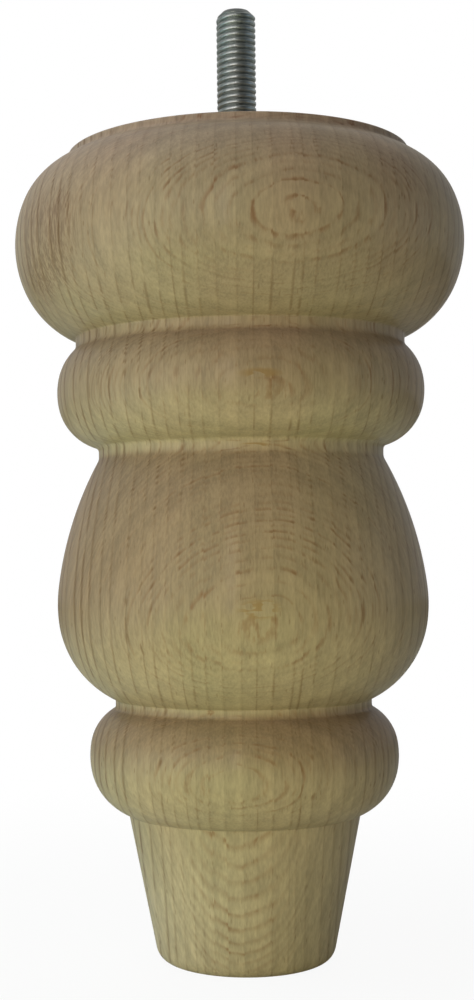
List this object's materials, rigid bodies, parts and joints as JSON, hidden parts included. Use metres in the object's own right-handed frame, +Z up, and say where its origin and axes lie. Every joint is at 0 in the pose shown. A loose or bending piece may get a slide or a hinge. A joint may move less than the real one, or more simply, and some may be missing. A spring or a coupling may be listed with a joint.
{
  "type": "turned furniture leg",
  "caption": "Turned beech furniture leg: wide rounded head, beads and a bowl above a tapered foot, with a threaded steel hanger bolt standing out of the seat to screw it on.",
  "frame": {"origin": "centre of the flat underside of the foot, where the leg stands on the floor", "axes": "+Z up along the turning axis towards the stud; the side seen in the picture faces -Y"},
  "size_m": [0.0896, 0.0896, 0.1895],
  "materials": {
    "beech": "raw, fine turned, matte",
    "zinc_steel": "zinc plated, satin"
  },
  "bodies": {
    "root": {"turned_leg": "beech", "hanger_bolt": "zinc_steel"}
  },
  "joints": []
}
